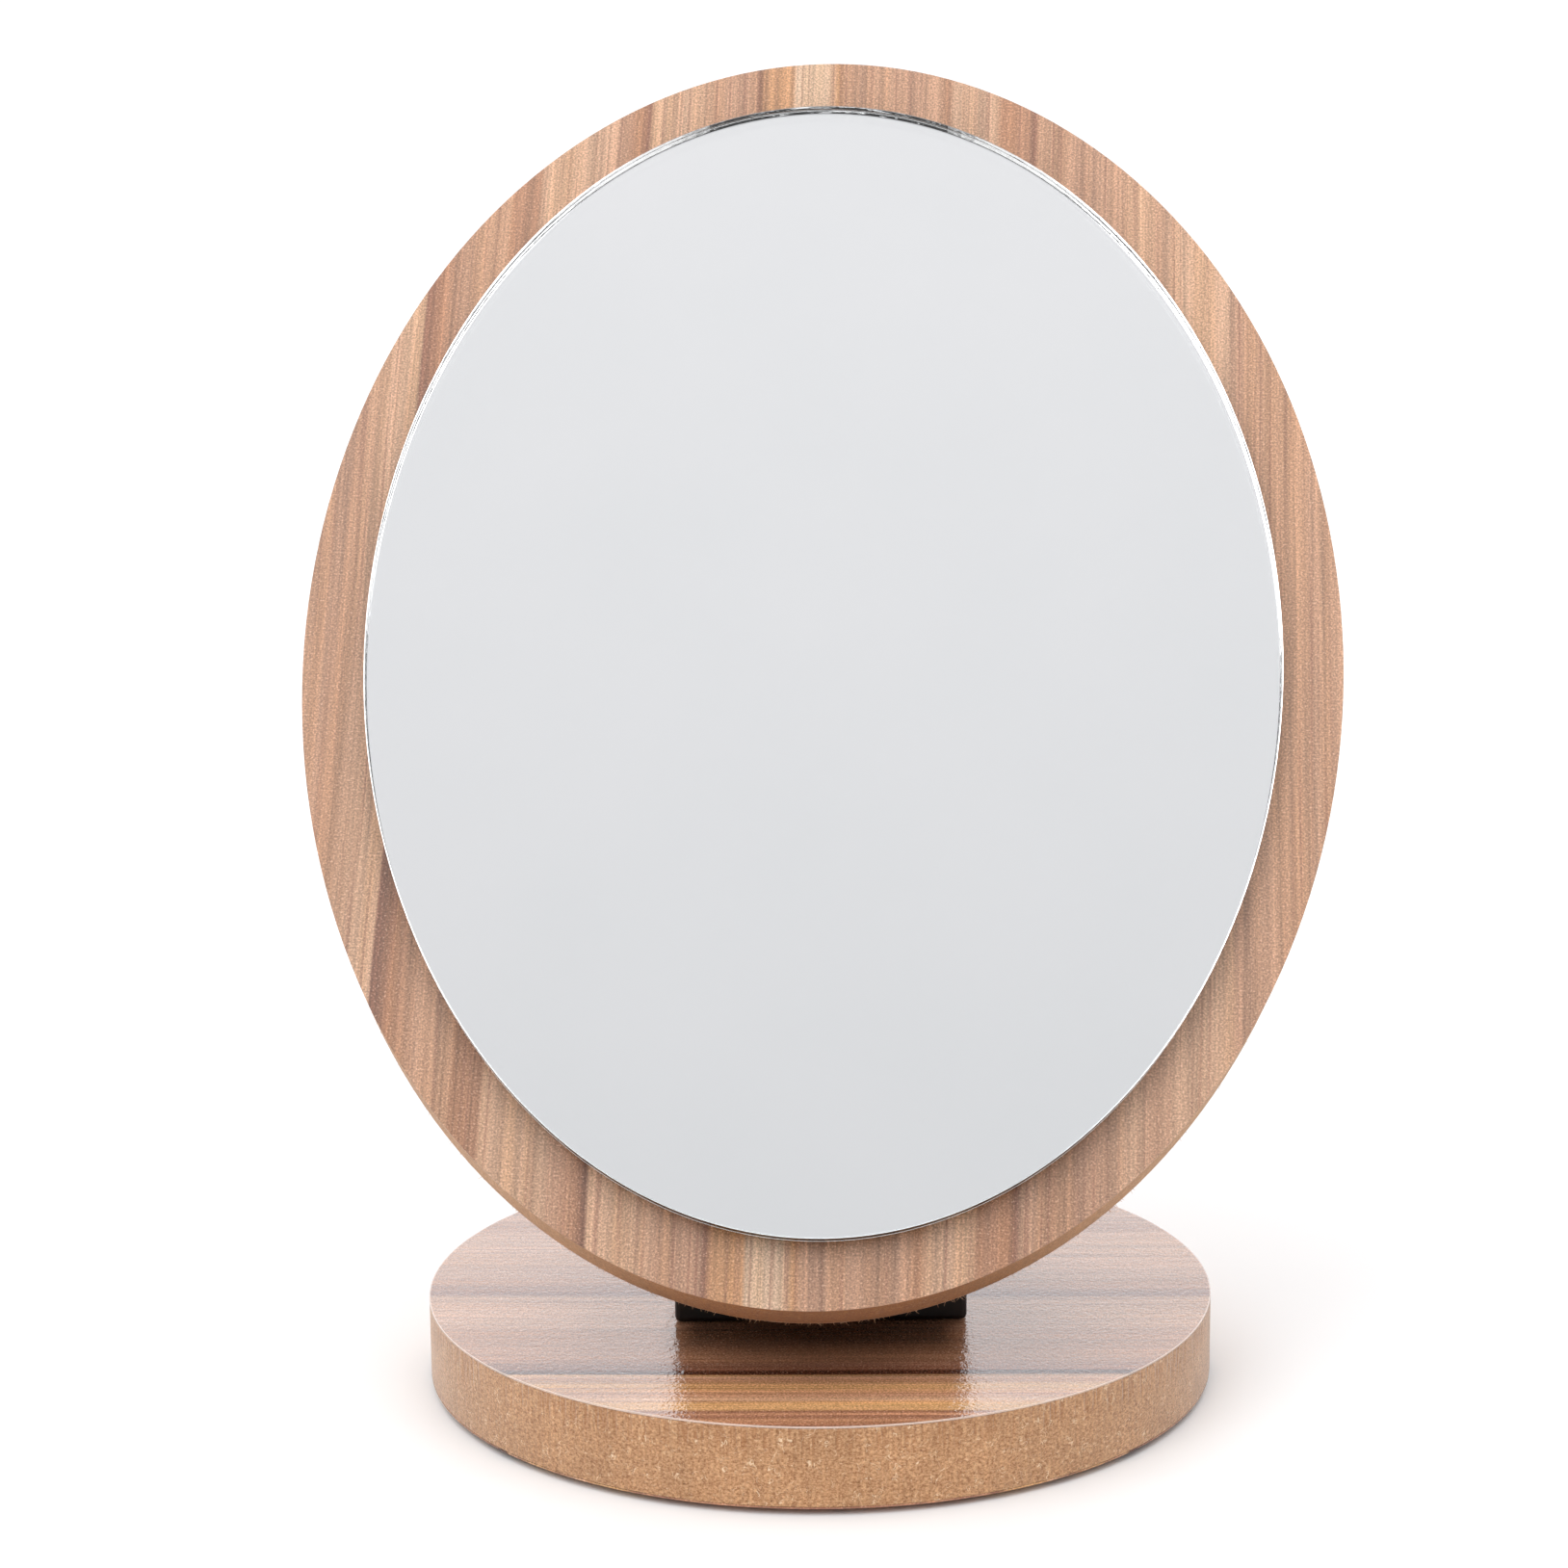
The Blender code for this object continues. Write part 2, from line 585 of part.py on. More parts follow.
def make_leaf_screws(material, pivot):
    """Countersunk screws through the leaf into the back of the panel."""
    rim = SCREW_HEAD_RADIUS - HOLE_GAP
    head = [
        (0, 0),
        (rim, 0),
        (rim, -HOLE_GAP),
        (SCREW_SHANK_RADIUS - THREAD_DEPTH, -SCREW_HEAD_DEPTH),
    ]
    pointing_forward = (-math.radians(90), 0, 0)
    for number, place in enumerate(leaf_screw_places(LEAF_BACK - HOLE_GAP)):
        name = f"leaf_screw_{number + 1}"
        profile = threaded_profile(head, SCREW_SHANK_RADIUS, SCREW_LENGTH)
        mesh = profile_mesh(name, profile)
        screw = add_part(name, mesh, material, place, pointing_forward, pivot)
        turn_profile(screw)
        cut_cross_recess(screw, RECESS_SHARE * rim, place, pointing_forward, pivot)


def make_panel(board_material, film_material, pivot):
    """The oval board with its film on both faces."""
    layers = {
        "panel_back_film": (-PIVOT_TO_PANEL, FILM_THICKNESS, film_material),
        "panel_board": (
            -PIVOT_TO_PANEL - FILM_THICKNESS - HAIRLINE,
            PANEL_THICKNESS - 2 * (FILM_THICKNESS + HAIRLINE),
            board_material,
        ),
        "panel_front_film": (PANEL_FRONT + FILM_THICKNESS, FILM_THICKNESS, film_material),
    }
    parts = {}
    for name, (back, thickness, material) in layers.items():
        mesh = oval_mesh(name, PANEL_HALF_WIDTH, PANEL_HALF_HEIGHT, thickness)
        place = (PANEL_SHIFT, back - thickness / 2, PANEL_CENTRE)
        parts[name] = add_part(name, mesh, material, place, (0, PANEL_LEAN, 0), pivot)
    gap = SCREW_SHANK_RADIUS + HOLE_GAP
    screw_end = LEAF_BACK - SCREW_LENGTH - 2 * HOLE_GAP
    back_face = -PIVOT_TO_PANEL + OVERCUT
    cut_leaf_screw_holes(parts["panel_board"], gap, screw_end, back_face, "pilot", pivot)
    cut_leaf_screw_holes(
        parts["panel_back_film"], gap, screw_end, back_face, "film_hole", pivot
    )


def make_mirror(glass_material, silver_material, tape_material, pivot):
    """The glass with the silver coat on its back, stuck to the panel with strips of tape."""
    layers = {
        "mirror_glass": (GLASS_BACK, GLASS_THICKNESS, glass_material),
        "mirror_silvering": (SILVER_BACK, SILVER_THICKNESS, silver_material),
    }
    parts = {}
    for name, (back, thickness, material) in layers.items():
        mesh = oval_mesh(name, GLASS_HALF_WIDTH, GLASS_HALF_HEIGHT, thickness)
        place = (PANEL_SHIFT, back - thickness / 2, PANEL_CENTRE - GLASS_DROP)
        parts[name] = add_part(name, mesh, material, place, (0, GLASS_LEAN, 0), pivot)
    add_bevel(parts["mirror_glass"], GLASS_BEVEL, 1)
    tape = box_mesh("mirror_tape", (TAPE_WIDTH, TAPE_THICKNESS, TAPE_HEIGHT))
    for number in range(TAPE_COUNT):
        height = PANEL_CENTRE - GLASS_DROP + (number - (TAPE_COUNT - 1) / 2) * TAPE_SPACING
        place = (PANEL_SHIFT, PANEL_FRONT - HAIRLINE - TAPE_THICKNESS / 2, height)
        add_part(f"mirror_tape_{number + 1}", tape, tape_material, place, parent=pivot)


def make_pivot():
    """The empty on the hinge axis that carries every piece that tilts."""
    pivot = bpy.data.objects.new("tilt_pivot", None)
    pivot.location = (0, PIVOT_Y, PIVOT_Z)
    pivot.rotation_euler = (-PANEL_TILT, 0, 0)
    bpy.data.collections[PARTS_NAME].objects.link(pivot)
    return pivot


def main():
    clear_scene()
    add_collection(PARTS_NAME)
    add_collection(CUTTERS_NAME)
    board = make_material("raw_fibreboard", (0.51, 0.29, 0.16), 0.85)
    film = make_material("woodgrain_film", (0.52, 0.33, 0.22), 0.35)
    plastic = make_material("black_plastic", (0.012, 0.011, 0.011), 0.45)
    steel = make_material("zinc_steel", (0.62, 0.62, 0.6), 0.35, 1.0)
    nylon = make_material("white_nylon", (0.8, 0.79, 0.75), 0.5)
    rubber = make_material("grey_rubber", (0.12, 0.12, 0.12), 0.8)
    glass = make_material("clear_glass", (0.9, 0.94, 0.92), 0.02)
    silver = make_material("silver_coat", (0.85, 0.86, 0.86), 0.02, 1.0)
    foam = make_material("foam_tape", (0.75, 0.75, 0.72), 0.8)

    make_pads(rubber)
    seat_height = make_base(board, film)
    make_base_screws(steel, seat_height)
    make_bracket(plastic)
    make_hinge_bolt(steel)
    make_friction_washers(nylon)

    pivot = make_pivot()
    make_leaf(plastic, pivot)
    make_leaf_screws(steel, pivot)
    make_panel(board, film, pivot)
    make_mirror(glass, silver, foam, pivot)


main()
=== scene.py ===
"""Looks for the oval tabletop mirror: wood-print film, raw fibreboard, mirror glass and fittings."""

import json
import math
import random

import bpy
from mathutils import Euler, Matrix, Vector

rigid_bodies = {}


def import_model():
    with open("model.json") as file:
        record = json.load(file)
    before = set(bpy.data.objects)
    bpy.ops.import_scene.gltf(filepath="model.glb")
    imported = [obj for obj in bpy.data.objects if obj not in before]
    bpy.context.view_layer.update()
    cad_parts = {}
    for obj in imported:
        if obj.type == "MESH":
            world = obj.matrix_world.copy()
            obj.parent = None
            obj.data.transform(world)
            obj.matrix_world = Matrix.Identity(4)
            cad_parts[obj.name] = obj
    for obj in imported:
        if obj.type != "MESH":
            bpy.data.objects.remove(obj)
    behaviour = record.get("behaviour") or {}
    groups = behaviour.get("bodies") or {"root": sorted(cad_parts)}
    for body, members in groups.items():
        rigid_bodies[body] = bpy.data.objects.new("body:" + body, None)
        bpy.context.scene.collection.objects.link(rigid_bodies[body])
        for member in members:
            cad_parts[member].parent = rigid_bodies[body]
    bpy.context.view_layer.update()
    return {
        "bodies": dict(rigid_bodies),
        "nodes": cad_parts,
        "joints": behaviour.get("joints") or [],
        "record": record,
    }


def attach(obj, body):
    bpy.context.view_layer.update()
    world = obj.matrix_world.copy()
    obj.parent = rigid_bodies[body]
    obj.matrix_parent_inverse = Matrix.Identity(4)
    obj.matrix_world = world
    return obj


MM = 0.001

# The frame's driving sizes, as in the CAD part
TILT = math.radians(30.4)
PIVOT = Vector((0, -19.4, 50.5))  # mm
PANEL_CENTRE = Vector((1.3, 62.8, 0))  # mm from the pivot, across and along the panel
PANEL_OVAL = (77.4, 99.5)  # mm, half its width and height
PANEL_LEAN = math.radians(3.5)  # the oval's turn in its own plane
PANEL_BACK = 4.6  # mm in front of the pivot
BASE_RADIUS = 60.0  # mm

# The mirror glass through its thickness, in mm in front of the hinge axis
GLASS_MIDDLE = 17.05
GLASS_HALF = 1.0
CORNER = 0.15  # the ground corners' width

# The camera
CAMERA_PLACE = Vector((-4.75, -496.6, 188.9)) * MM
CAMERA_DOWN = math.radians(11.14)
CAMERA_ROLL = math.radians(-0.55)
CAMERA_LENS = 77.4
SENSOR = 36.0
NEAREST = 0.01

FLOOR_SIZE = 8.0

# The studio's light by height (0 at the horizon, 1 straight up), in front, beside and above
ROOM = (
    (0.0, (0.03, 0.03, 0.03, 1)),
    (1.0, (1.9, 1.9, 1.9, 1)),
    (0.34, (0.05, 0.05, 0.05, 1)),
    (0.6, (0.71, 0.715, 0.73, 1)),
    (0.669, (0.745, 0.75, 0.765, 1)),
    (0.875, (0.88, 0.88, 0.895, 1)),
    (0.93, (1.9, 1.9, 1.9, 1)),
)
# and of the backdrop behind the object
BACKDROP = (
    (0.0, (1.75, 1.86, 1.97, 1)),
    (1.0, (1.9, 1.9, 1.9, 1)),
    (0.45, (1.75, 1.86, 1.97, 1)),
    (0.6, (1.2, 1.2, 1.2, 1)),
)
LEFT_BOX = 2.7  # the soft boxes to the camera's left and right
RIGHT_BOX = 1.6
BOX_STAND = 1.0  # the narrow light strips below the boxes' inner ends
LEFT_FILL = 0.6  # added high up on the left
SEEN_WHITE = 1.1  # what the camera sees directly

# The soft edges of those lights, from none to full or from full to none, as parts of 1: backwards and
# sideways by compass direction, and up by height
BACKDROP_START = (0.62, 0.85)
FILL_FRONT = (-0.6, -0.4)
FILL_BACK = (0.5, 0.77)
FILL_LOW = (0.4, 0.55)
FILL_HIGH = (0.82, 0.9)
FILL_RIGHT = (-0.2, 0.2)
BOX_INNER = (0.29, 0.42)
BOX_OUTER = (0.82, 0.92)
BOX_LOW = (0.32, 0.5)
BOX_HIGH = (0.83, 0.92)
BOX_BACK = (-0.3, -0.1)
STAND_INNER = (0.27, 0.36)
STAND_OUTER = (0.5, 0.62)
STAND_LOW = (0.03, 0.12)
STAND_HIGH = (0.45, 0.6)


def colour(red, green, blue):
    """A screen colour (0 to 255) as the renderer's linear values."""

    def linear(value):
        value /= 255
        return value / 12.92 if value <= 0.04045 else ((value + 0.055) / 1.055) ** 2.4

    return (linear(red), linear(green), linear(blue), 1.0)


# Board frames: two axes in the board and the third through its thickness
ALONG_PANEL = TILT - math.radians(90)
PANEL_ORIGIN = PIVOT + Vector(
    (
        PANEL_CENTRE.x,
        PANEL_CENTRE.y * math.sin(TILT),
        PANEL_CENTRE.y * math.cos(TILT),
    )
)
PANEL_GRAIN = math.radians(2.8)  # the print's turn from straight up
BASE_GRAIN = math.radians(1.6)  # the print's turn from straight across
PANEL_FRAME = ((ALONG_PANEL, 0, 0), PANEL_ORIGIN)
PANEL_PRINT_FRAME = ((ALONG_PANEL, 0, PANEL_GRAIN), PANEL_ORIGIN)
BASE_FRAME = ((0, 0, 0), (0, 0, 0))
BASE_PRINT_FRAME = ((0, 0, BASE_GRAIN - math.radians(90)), (0, 0, 0))

# The print's tones
CREAM = colour(226, 189, 158)
SAND = colour(214, 170, 138)
TAN = colour(204, 157, 126)
ROSE = colour(193, 147, 118)
AMBER = colour(208, 154, 110)
GOLD = colour(212, 163, 112)
CLAY = colour(188, 137, 105)
UMBER = colour(148, 101, 80)
BARK = colour(92, 52, 35)
WARMER = (1.02, 0.985, 0.91, 1.0)  # times a tone, in the golden streaks
PAINTED_GLINT = colour(236, 208, 186)  # painted glints: the pebbled surface's highlights put into its colour
PAINTED_EDGE_HIGHLIGHT = colour(243, 222, 208)  # painted highlight along the film's cut edge

# Bands of the print as (mm across the grain, tone); close pairs are sharp joins
PANEL_BANDS = (
    (-78, TAN),
    (-72, ROSE),
    (-66, SAND),
    (-63.4, SAND),
    (-63.1, UMBER),
    (-60, CLAY),
    (-56, TAN),
    (-51.2, TAN),
    (-50.7, CLAY),
    (-46.7, CLAY),
    (-46.4, SAND),
    (-37, SAND),
    (-35, TAN),
    (-32, CLAY),
    (-30.5, UMBER),
    (-30.1, SAND),
    (-24, SAND),
    (-20, TAN),
    (-14, ROSE),
    (-13.6, UMBER),
    (-12.4, AMBER),
    (-8.4, AMBER),
    (-7.8, CREAM),
    (-3, CREAM),
    (-1, AMBER),
    (0, TAN),
    (2, ROSE),
    (6, TAN),
    (11, ROSE),
    (15, TAN),
    (16.8, CLAY),
    (17.6, SAND),
    (24, SAND),
    (25, CLAY),
    (29, CLAY),
    (30.1, UMBER),
    (30.8, TAN),
    (38, ROSE),
    (43, TAN),
    (47, SAND),
    (50, TAN),
    (53, SAND),
    (60, SAND),
    (61.5, ROSE),
    (64, TAN),
    (78, TAN),
)
BASE_BANDS = (
    (-60, UMBER),
    (-57.6, CLAY),
    (-56.4, UMBER),
    (-55.4, CLAY),
    (-54.6, UMBER),
    (-53.6, GOLD),
    (-51.4, GOLD),
    (-50.9, AMBER),
    (-50.2, SAND),
    (-48, CLAY),
    (-46.6, AMBER),
    (-45, GOLD),
    (-42.4, CLAY),
    (-41.2, TAN),
    (-40.5, GOLD),
    (-40.2, BARK),
    (-38.8, BARK),
    (-38, UMBER),
    (-33, CLAY),
    (-23, CLAY),
    (-20, TAN),
    (-14, TAN),
    (-8, TAN),
    (-7, UMBER),
    (-2, CLAY),
    (2, ROSE),
    (12, TAN),
    (20, TAN),
    (25, CLAY),
    (30, ROSE),
    (60, TAN),
)
HALF_SPAN = 80.0  # mm on each side that a ramp covers

# Noises of the print, by how close they are per mm across the grain, along it and through the film. Their
# LEVELS are brightnesses from the noise's low end to its high end. ABOVE or BELOW is the stretch of the
# noise over which a thing appears, and its SHARE is how much of its tone then shows.
WAVER = (0.03, 0.012, 0)
WAVER_WIDTH = 2.4  # mm that the bands wander
STREAKS = (0.8, 0.01, 1)
STREAK_LEVELS = (0.72, 1.2)
GOLDEN_STREAKS = (0.35, 0.008, 3)
GOLDEN_ABOVE = (0.42, 0.6)
FINE_LINES = (2.6, 0.03, 1)
FINE_LINE_LEVELS = (0.82, 1.14)
DARK_LINES = (1.9, 0.016, 2)
DARK_LINES_ABOVE = (0.56, 0.74)
DARK_LINE_SHARE = 0.6
# and the same in every direction
PEBBLES = 1.5
SPECKLES = 3.4
SPECKLE_LEVELS = (0.64, 1.34)
SPECKLE_HEIGHT = 0.35  # of the pebbles' height
PAINTED_GLINTS_ABOVE = (0.62, 0.76)
PAINTED_GLINT_SHARE = 0.42

# The prints: lift is a brightness, gloss the lowest roughness and pebble the surface's height in mm. The
# slow fade along the grain is in mm (lightest place, start and end of the fade) with the lowest level.
PANEL_PRINT = {
    "frame": PANEL_PRINT_FRAME,
    "bands": PANEL_BANDS,
    "lift": 0.97,
    # painted shade: on the panel the print darkens towards its bottom
    "fade": (100, 10, 180, 0.82),
    "gloss": 0.3,
    "pebble": 0.03,
}
BASE_PRINT = {
    "frame": BASE_PRINT_FRAME,
    "bands": BASE_BANDS,
    "lift": 1.24,
    "fade": (0, 14, 34, 0.71),
    "gloss": 0.07,
    "pebble": 0.08,
}
FILM_INDEX = 1.65

# Painted shade on the base's print in front of the bracket, under the panel's lower edge
UNDER_PANEL_SHADE_FRONT = (-37, -24)  # mm across the grain: its start and where it is full
UNDER_PANEL_SHADE_BACK = (-16, -12)
UNDER_PANEL_SHADE_SIDE = (17, 24)  # mm along the grain
UNDER_PANEL_SHADE_LEVEL = 0.25

# The base's top film's cut edge, in mm: a painted highlight along it, and its slight round
EDGE_HIGHLIGHT_START = BASE_RADIUS - 0.2
EDGE_HIGHLIGHT_FULL = EDGE_HIGHLIGHT_START + 0.06
EDGE_HIGHLIGHT_SHARE = 0.6
FILM_ROUND = 0.12
SHARP_EDGE = math.radians(40)
SAME_POINT = 0.00001  # metres

# Fibreboard's tones (dark, middle, light) on the base's sawn edge and on the panel's sanded rim
SAWN = (colour(146, 98, 62), colour(191, 143, 102), colour(220, 174, 131))
SANDED = (colour(150, 106, 70), colour(188, 141, 101), colour(214, 170, 130))
PALE_FIBRE = colour(246, 220, 186)
DARK_SPECK = colour(96, 56, 34)
DEEP_MARK = colour(158, 104, 64)
RIM_SHADE_TINT = (0.52, 0.36, 0.1, 1.0)  # times a tone: painted shade along the panel's lowest edge, just above the base
RIM_SHADE_SIDES = (12.0, 52.0)  # mm to the side, where the painted shade starts to fade and where it ends
MARKED = (9.5, 12.0)  # mm up the base, where deep saw marks begin and where they are full

# Noises of the fibreboard, by how close they are per mm in the board and through it
MATTED = (2.2, 2.2, 3.0)
MATTED_TONES = (0.34, 0.5, 0.66)  # where in the noise the dark, middle and light tones are
FINE_MARKS = (2.4, 2.4, 0.14)
FINE_MARK_RANGE = (0.32, 0.68)
FINE_MARK_LEVELS = (0.92, 1.06)
FINE_MARK_HEIGHT = 0.6  # of the matted fibres' height
DEEP_MARKS = (1.5, 1.5, 0.12)
DEEP_MARKS_BELOW = (0.38, 0.5)
DEEP_MARK_SHARE = 0.4
DEEP_MARK_HEIGHT = -0.8
FLAT_FLECKS = (1.82, 1.82, 3.9)
FLECKS_ABOVE = (0.65, 0.73)
FLECK_SHARE = 0.35
SPECKS_BELOW = (0.26, 0.31)
SPECK_SHARE = 0.7
# and the same in every direction
CLOUDS = 0.09
CLOUD_LEVELS = (0.92, 1.07)
RAGGED = 0.5  # the lower end of the deep saw marks
RAGGED_DEPTH = 3.0  # mm
CURLS = 0.8
CURL_TWIST = 0.8
CURL_LINE = (0.005, 0.02)  # from a curl's level line: the full fibre and its end
CURL_PATCHES = 0.6
CURLS_ABOVE = (0.52, 0.62)
CURL_SHARE = 0.8

# Painted shade on the glass: its cut walls and ground corners are tinted dark low down, where light that
# comes in through the cut edge is mostly lost on its long way through
CLEAR = (0.99, 0.99, 0.99, 1.0)
WALL_SHADE = (0.01, 0.012, 0.012, 1.0)
CORNER_SHADE = (0.16, 0.19, 0.2, 1.0)
LOSSES = (-70.0, 5.0)  # mm up the panel: all of the loss and none of it
EDGE_WAVES = (0.3, 0.3, 0.6)
EDGE_WAVE_HEIGHT = 0.09  # mm

# The other materials, as a tone or a darker and a lighter one
BLACK = (0.007, 0.0062, 0.006, 1)
ZINC = (colour(172, 172, 168), colour(214, 214, 210))
SILVER = ((0.93, 0.94, 0.945, 1), (0.95, 0.955, 0.96, 1))
NYLON = (colour(222, 220, 214), colour(238, 236, 230))
RUBBER = (colour(84, 84, 84), colour(112, 112, 112))
FOAM = (colour(214, 214, 210), colour(236, 236, 232))
LOOSE_FIBRE = (colour(176, 132, 98), colour(222, 190, 160))
FLOOR = ((0.9, 0.9, 0.9, 1), (0.92, 0.92, 0.92, 1))

# Frayed fibres on the panel's back edge
FIBRE_SEED = 11
FIBRE_COUNT = 170
FIBRE_RADIUS = 0.03  # mm
FIBRE_STEPS = 4
FIBRE_ANGLES = (205, 335, 268)  # degrees round the panel: the first, the last and where most are
FIBRE_LENGTHS = (0.15, 0.8, 0.25)  # mm: the shortest, the longest and the most common
FIBRE_ROOT = 0.1  # mm inside the board

NOISE = (0.3, 0.7)  # nearly all of a noise lies between these


class Nodes:
    """A node tree with short ways to add and link its nodes."""

    def __init__(self, tree):
        self.tree = tree

    def node(self, kind, **settings):
        made = self.tree.nodes.new(kind)
        for key, value in settings.items():
            setattr(made, key, value)
        return made

    def feed(self, socket, value):
        """The socket gets a link, or else a plain value."""
        if isinstance(value, bpy.types.NodeSocket):
            self.tree.links.new(value, socket)
        else:
            socket.default_value = value

    def math(self, operation, first, second=0.0, third=0.0):
        made = self.node("ShaderNodeMath", operation=operation)
        for socket, value in zip(made.inputs, (first, second, third)):
            self.feed(socket, value)
        return made.outputs[0]

    def product(self, *factors):
        result = factors[0]
        for factor in factors[1:]:
            result = self.math("MULTIPLY", result, factor)
        return result

    def spread(self, value, low, high, to_low=0.0, to_high=1.0, smooth=False):
        """The value's range low..high stretched over to_low..to_high."""
        made = self.node("ShaderNodeMapRange")
        if smooth:
            made.interpolation_type = "SMOOTHSTEP"
        for socket, amount in zip(made.inputs, (value, low, high, to_low, to_high)):
            self.feed(socket, amount)
        return made.outputs[0]

    def rise(self, value, edge, level=1.0):
        """A soft edge from 0 up to the level."""
        return self.spread(value, *edge, 0.0, level, smooth=True)

    def fall(self, value, edge, level=1.0):
        """A soft edge from the level down to 0."""
        return self.spread(value, *edge, level, 0.0, smooth=True)

    def ramp(self, value, stops):
        """A colour ramp from (position, colour) stops: the two ends first, then the ones between."""
        made = self.node("ShaderNodeValToRGB")
        elements = made.color_ramp.elements
        for element, (position, tint) in zip(elements, stops):
            element.position = position
            element.color = tint
        for position, tint in stops[2:]:
            elements.new(position).color = tint
        self.feed(made.inputs["Fac"], value)
        return made.outputs["Color"]

    def mix(self, amount, first, second, blend="MIX"):
        made = self.node("ShaderNodeMix", data_type="RGBA", blend_type=blend)
        self.feed(made.inputs["Factor"], amount)
        self.feed(made.inputs[6], first)
        self.feed(made.inputs[7], second)
        return made.outputs[2]

    def grey(self, level):
        made = self.node("ShaderNodeCombineColor")
        for socket in made.inputs:
            self.feed(socket, level)
        return made.outputs[0]


class Shader(Nodes):
    """A material on a Principled surface."""

    def __init__(self, name):
        self.material = bpy.data.materials.new(name)
        self.material.use_nodes = True
        super().__init__(self.material.node_tree)
        self.surface = self.tree.nodes["Principled BSDF"]

    def set(self, name, value):
        self.feed(self.surface.inputs[name], value)

    def vector(self, x, y, z=0.0):
        made = self.node("ShaderNodeCombineXYZ")
        for socket, value in zip(made.inputs, (x, y, z)):
            self.feed(socket, value)
        return made.outputs[0]

    def noise(self, vector, scale=1.0, detail=2.0, roughness=0.5, distortion=0.0):
        made = self.node("ShaderNodeTexNoise")
        self.feed(made.inputs["Vector"], vector)
        made.inputs["Scale"].default_value = scale
        made.inputs["Detail"].default_value = detail
        made.inputs["Roughness"].default_value = roughness
        made.inputs["Distortion"].default_value = distortion
        return made.outputs["Fac"]

    def two_tone(self, noise, tones):
        """A noise's colours, from the darker tone to the lighter one."""
        return self.ramp(noise, tuple(zip(NOISE, tones)))

    def brighten(self, tint, amount):
        """The colour multiplied by a value round 1."""
        return self.mix(1.0, tint, self.grey(amount), "MULTIPLY")

    def bump(self, height, distance, strength=1.0):
        made = self.node("ShaderNodeBump")
        made.inputs["Distance"].default_value = distance
        made.inputs["Strength"].default_value = strength
        self.feed(made.inputs["Height"], height)
        return made.outputs[0]

    def place(self, turn=(0, 0, 0), origin=(0, 0, 0)):
        """Millimetres from an origin (mm), turned so that the third axis is the thickness."""
        centre = Vector(origin)
        centre.rotate(Euler(turn))
        mapping = self.node("ShaderNodeMapping")
        mapping.inputs["Scale"].default_value = (1 / MM,) * 3
        mapping.inputs["Rotation"].default_value = turn
        mapping.inputs["Location"].default_value = -centre
        coordinates = self.node("ShaderNodeTexCoord")
        self.feed(mapping.inputs["Vector"], coordinates.outputs["Object"])
        return mapping.outputs[0]

    def scaled(self, vector, factors):
        """The vector with each axis multiplied, to stretch a noise along the others."""
        made = self.node("ShaderNodeVectorMath", operation="MULTIPLY")
        self.feed(made.inputs[0], vector)
        made.inputs[1].default_value = factors
        return made.outputs[0]

    def length(self, vector):
        made = self.node("ShaderNodeVectorMath", operation="LENGTH")
        self.feed(made.inputs[0], vector)
        return made.outputs["Value"]

    def split(self, vector):
        made = self.node("ShaderNodeSeparateXYZ")
        self.feed(made.inputs[0], vector)
        return made.outputs


def banded(shader, across, bands):
    """The print's colour across the grain: one ramp for each side of the middle."""
    sides = []
    for side in (-1, 1):
        chosen = [(abs(at), tone) for at, tone in bands if at * side >= 0]
        chosen.sort(key=lambda stop: stop[0])
        stops = [(at / HALF_SPAN, tone) for at, tone in chosen]
        distance = shader.math("MULTIPLY", across, side / HALF_SPAN)
        sides.append(shader.ramp(distance, stops))
    right = shader.math("GREATER_THAN", across, 0.0)
    return shader.mix(right, sides[0], sides[1])


def painted_under_panel_shade(shader, across, along):
    """The level of the painted shade in front of the bracket, under the panel's lower edge."""
    dark = shader.product(
        shader.rise(across, UNDER_PANEL_SHADE_FRONT),
        shader.spread(across, *UNDER_PANEL_SHADE_BACK, 1.0, 0.0),
        shader.fall(shader.math("ABSOLUTE", along), UNDER_PANEL_SHADE_SIDE),
    )
    return shader.spread(dark, 0.0, 1.0, 1.0, UNDER_PANEL_SHADE_LEVEL)


def streaked(shader, tint, grain):
    """The print's streaks and lines along the grain."""
    streaks = shader.noise(shader.scaled(grain, STREAKS), detail=3.0, roughness=0.65)
    tint = shader.brighten(tint, shader.spread(streaks, *NOISE, *STREAK_LEVELS))
    warmth = shader.noise(shader.scaled(grain, GOLDEN_STREAKS))
    tint = shader.mix(shader.spread(warmth, *GOLDEN_ABOVE), tint, WARMER, "MULTIPLY")
    lines = shader.noise(shader.scaled(grain, FINE_LINES), roughness=0.6)
    tint = shader.brighten(tint, shader.spread(lines, *NOISE, *FINE_LINE_LEVELS))
    dark_lines = shader.noise(shader.scaled(grain, DARK_LINES), detail=1.0)
    darkness = shader.spread(dark_lines, *DARK_LINES_ABOVE, 0.0, DARK_LINE_SHARE)
    return shader.mix(darkness, tint, UMBER)


